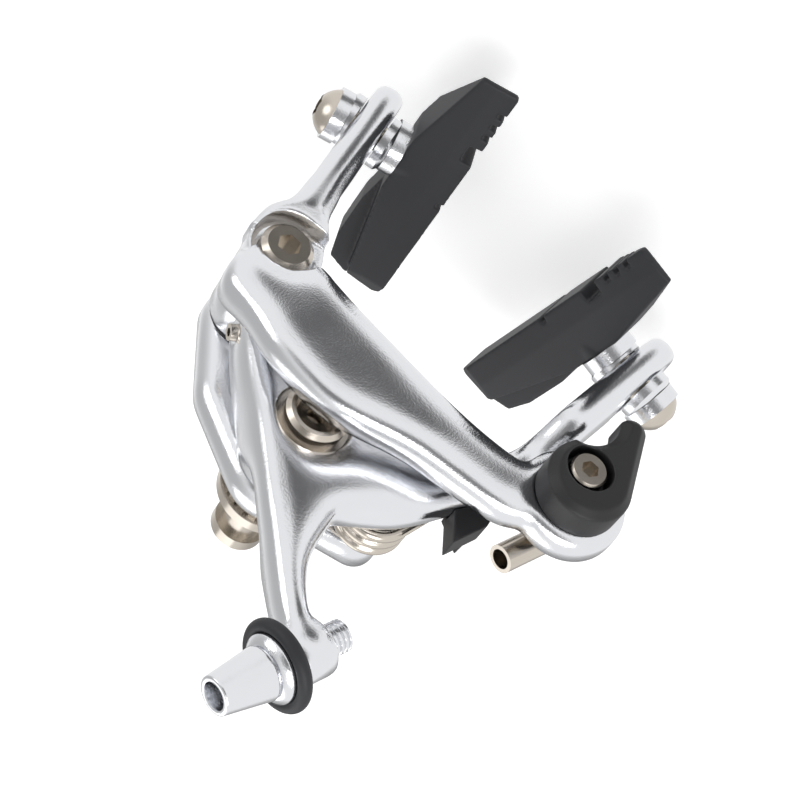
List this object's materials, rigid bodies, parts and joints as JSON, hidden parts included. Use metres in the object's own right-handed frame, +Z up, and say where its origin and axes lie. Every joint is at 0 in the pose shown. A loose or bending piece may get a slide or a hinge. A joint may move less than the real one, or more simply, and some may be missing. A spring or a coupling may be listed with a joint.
{
  "type": "bicycle caliper brake",
  "caption": "Dual-pivot long-reach bicycle caliper brake with polished alloy arms, rubber brake shoes, quick-release lever and barrel adjuster, shown open.",
  "frame": {"origin": "on the mounting-bolt axis, in the plane of the crown washer's rear face that meets the fork", "axes": "+X to the right seen from the front, +Y to the rear along the mounting bolt, +Z up"},
  "size_m": [0.0967, 0.0731, 0.1241],
  "materials": {
    "polished_aluminium": "polished forged alloy",
    "plated_steel": "bright nickel plate",
    "black_rubber": "matt moulded rubber",
    "black_nylon": "matt moulded nylon",
    "brass": "turned bronze"
  },
  "bodies": {
    "bracket_assembly": {"bracket": "polished_aluminium", "mounting_bolt": "plated_steel", "pivot_nut": "plated_steel", "front_slip_washer": "plated_steel", "rear_slip_washer": "black_nylon", "toothed_washer": "plated_steel", "crown_washer": "plated_steel", "recessed_nut": "plated_steel", "side_pivot_bolt": "plated_steel", "side_slip_washer": "black_nylon", "return_spring": "plated_steel", "spring_sleeve": "black_nylon"},
    "anchor_arm_assembly": {"anchor_arm": "polished_aluminium", "side_pivot_bush": "brass", "anchor_shoe_bolt": "plated_steel", "anchor_outer_cup_washer": "polished_aluminium", "anchor_outer_ball_washer": "polished_aluminium", "anchor_inner_ball_washer": "polished_aluminium", "anchor_inner_cup_washer": "polished_aluminium", "anchor_insert": "plated_steel", "anchor_pad": "black_rubber"},
    "adjuster_arm_assembly": {"adjuster_arm": "polished_aluminium", "centre_pivot_bush": "brass", "centring_screw": "plated_steel", "spring_block": "black_nylon", "adjuster_shoe_bolt": "plated_steel", "adjuster_outer_cup_washer": "polished_aluminium", "adjuster_outer_ball_washer": "polished_aluminium", "adjuster_inner_ball_washer": "polished_aluminium", "adjuster_inner_cup_washer": "polished_aluminium", "adjuster_insert": "plated_steel", "adjuster_pad": "black_rubber"},
    "release_lever": {"quick_release_lever": "black_nylon"},
    "cable_clamp": {"anchor_bolt": "plated_steel", "clamp_plate": "plated_steel", "clamp_nut": "plated_steel"},
    "adjuster_barrel": {"barrel_adjuster": "polished_aluminium", "adjuster_ring": "black_rubber"}
  },
  "joints": [
    {"name": "anchor_arm_pivot", "type": "hinge", "parent": "bracket_assembly", "child": "anchor_arm_assembly", "pos_m": [0.025, 0, -0.0182], "axis": [0, 1, 0], "range_deg": [0, 10], "stiffness_Nm_per_rad": 1.5, "springref_deg": -17.19, "deforming": ["return_spring"]},
    {"name": "adjuster_arm_pivot", "type": "hinge", "parent": "bracket_assembly", "child": "adjuster_arm_assembly", "pos_m": [0, 0, 0], "axis": [0, -1, 0], "range_deg": [0, 6.1], "deforming": ["return_spring"]},
    {"name": "release_lever_hinge", "type": "hinge", "parent": "anchor_arm_assembly", "child": "release_lever", "pos_m": [-0.0425, 0, -0.0192], "axis": [0, 1, 0], "range_deg": [0, 90]},
    {"name": "cable_clamp_hinge", "type": "hinge", "parent": "release_lever", "child": "cable_clamp", "pos_m": [-0.0411, 0, -0.0203], "axis": [0, 1, 0], "range_deg": [-91, 1]},
    {"name": "barrel_turn", "type": "hinge", "parent": "adjuster_arm_assembly", "child": "adjuster_barrel", "pos_m": [-0.0277, -0.02396, 0.0357], "axis": [0.2756, 0, 0.9613], "continuous": true}
  ],
  "couplings": [
    {"joint": "adjuster_arm_pivot", "follows": "anchor_arm_pivot", "ratio": 0.6},
    {"joint": "cable_clamp_hinge", "follows": "release_lever_hinge", "ratio": -1}
  ]
}
